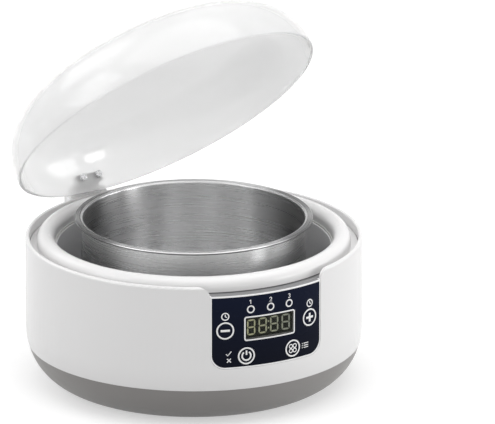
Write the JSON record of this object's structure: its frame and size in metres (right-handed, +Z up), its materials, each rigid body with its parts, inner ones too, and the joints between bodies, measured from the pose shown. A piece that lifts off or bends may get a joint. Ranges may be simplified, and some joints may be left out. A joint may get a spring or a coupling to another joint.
{
  "type": "yogurt maker",
  "caption": "Round countertop yogurt maker: white wall on a grey base, heated metal well, lift-out steel bowl, hinged clear dome lid and a curved front panel with keys and display.",
  "frame": {"origin": "centre of the round body on the table plane, under the rubber foot ring", "axes": "+Z up along the round wall's axis, the control panel faces -Y, +X to the right seen from the front"},
  "size_m": [0.2174, 0.2289, 0.2537],
  "materials": {
    "white_plastic": "smooth satin gloss",
    "grey_plastic": "satin warm grey",
    "clear_plastic": "clear, polished",
    "panel_navy": "glossy dark film",
    "smoked_window": "smoked clear",
    "satin_steel": "satin, polished rim",
    "well_aluminium": "satin metal",
    "bright_steel": "plated",
    "dark_rubber": "matte",
    "silicone": "matte translucent white",
    "board_green": "solder mask",
    "component_black": "moulded",
    "display_dark": "unlit segments",
    "lamp_resin": "unlit resin",
    "heater_ceramic": "ceramic body",
    "sensor_brass": "plain",
    "lead_insulation": "red insulation",
    "cable_grey": "grey insulation",
    "transformer_tape": "tape"
  },
  "bodies": {
    "housing": {"base_cover": "grey_plastic", "base_screws": "bright_steel", "board_headers": "cable_grey", "board_screws": "bright_steel", "clamp_screws": "bright_steel", "control_board": "board_green", "cord_inlet": "component_black", "deck_ring": "white_plastic", "display_module": "display_dark", "display_window": "smoked_window", "filter_capacitor": "component_black", "foot_ring": "dark_rubber", "heater_clamp": "bright_steel", "heater_leads": "lead_insulation", "heater_left": "heater_ceramic", "heater_plate": "well_aluminium", "heater_right": "heater_ceramic", "hinge_bracket": "white_plastic", "hinge_pin": "bright_steel", "hinge_screws": "bright_steel", "indicator_led_left": "lamp_resin", "indicator_led_middle": "lamp_resin", "indicator_led_right": "lamp_resin", "inlet_leads": "lead_insulation", "inlet_pins": "bright_steel", "key_switches": "component_black", "outer_shell": "white_plastic", "pan_gasket": "silicone", "pan_screws": "bright_steel", "panel_cable": "cable_grey", "panel_frame": "white_plastic", "panel_overlay": "panel_navy", "power_board": "board_green", "power_board_screws": "bright_steel", "relay": "component_black", "sensor_lead": "cable_grey", "temperature_sensor": "sensor_brass", "terminal_block": "component_black", "thermal_fuse": "bright_steel", "transformer": "transformer_tape", "well_pan": "well_aluminium"},
    "lid": {"lid_dome": "clear_plastic", "lid_arm": "white_plastic", "lid_arm_screws": "bright_steel"},
    "bowl": {"inner_bowl": "satin_steel"},
    "key_minus": {"key_minus": "panel_navy"},
    "key_plus": {"key_plus": "panel_navy"},
    "key_power": {"key_power": "panel_navy"},
    "key_function": {"key_function": "panel_navy"}
  },
  "joints": [
    {"name": "lid_hinge", "type": "hinge", "parent": "housing", "child": "lid", "pos_m": [-0.02175, 0.11191, 0.093], "axis": [-0.9816, -0.1908, 0], "range_deg": [-43, 52]},
    {"name": "bowl_lift", "type": "slide", "parent": "housing", "child": "bowl", "axis": [0, 0, 1], "range_m": [0, 0.07]},
    {"name": "key_minus_press", "type": "slide", "parent": "housing", "child": "key_minus", "axis": [0, 1, 0], "range_m": [0, 0.0005], "stiffness_N_per_m": 800, "springref_m": -0.0005},
    {"name": "key_plus_press", "type": "slide", "parent": "housing", "child": "key_plus", "axis": [0, 1, 0], "range_m": [0, 0.0005], "stiffness_N_per_m": 800, "springref_m": -0.0005},
    {"name": "key_power_press", "type": "slide", "parent": "housing", "child": "key_power", "axis": [0, 1, 0], "range_m": [0, 0.0005], "stiffness_N_per_m": 800, "springref_m": -0.0005},
    {"name": "key_function_press", "type": "slide", "parent": "housing", "child": "key_function", "axis": [0, 1, 0], "range_m": [0, 0.0005], "stiffness_N_per_m": 800, "springref_m": -0.0005}
  ]
}
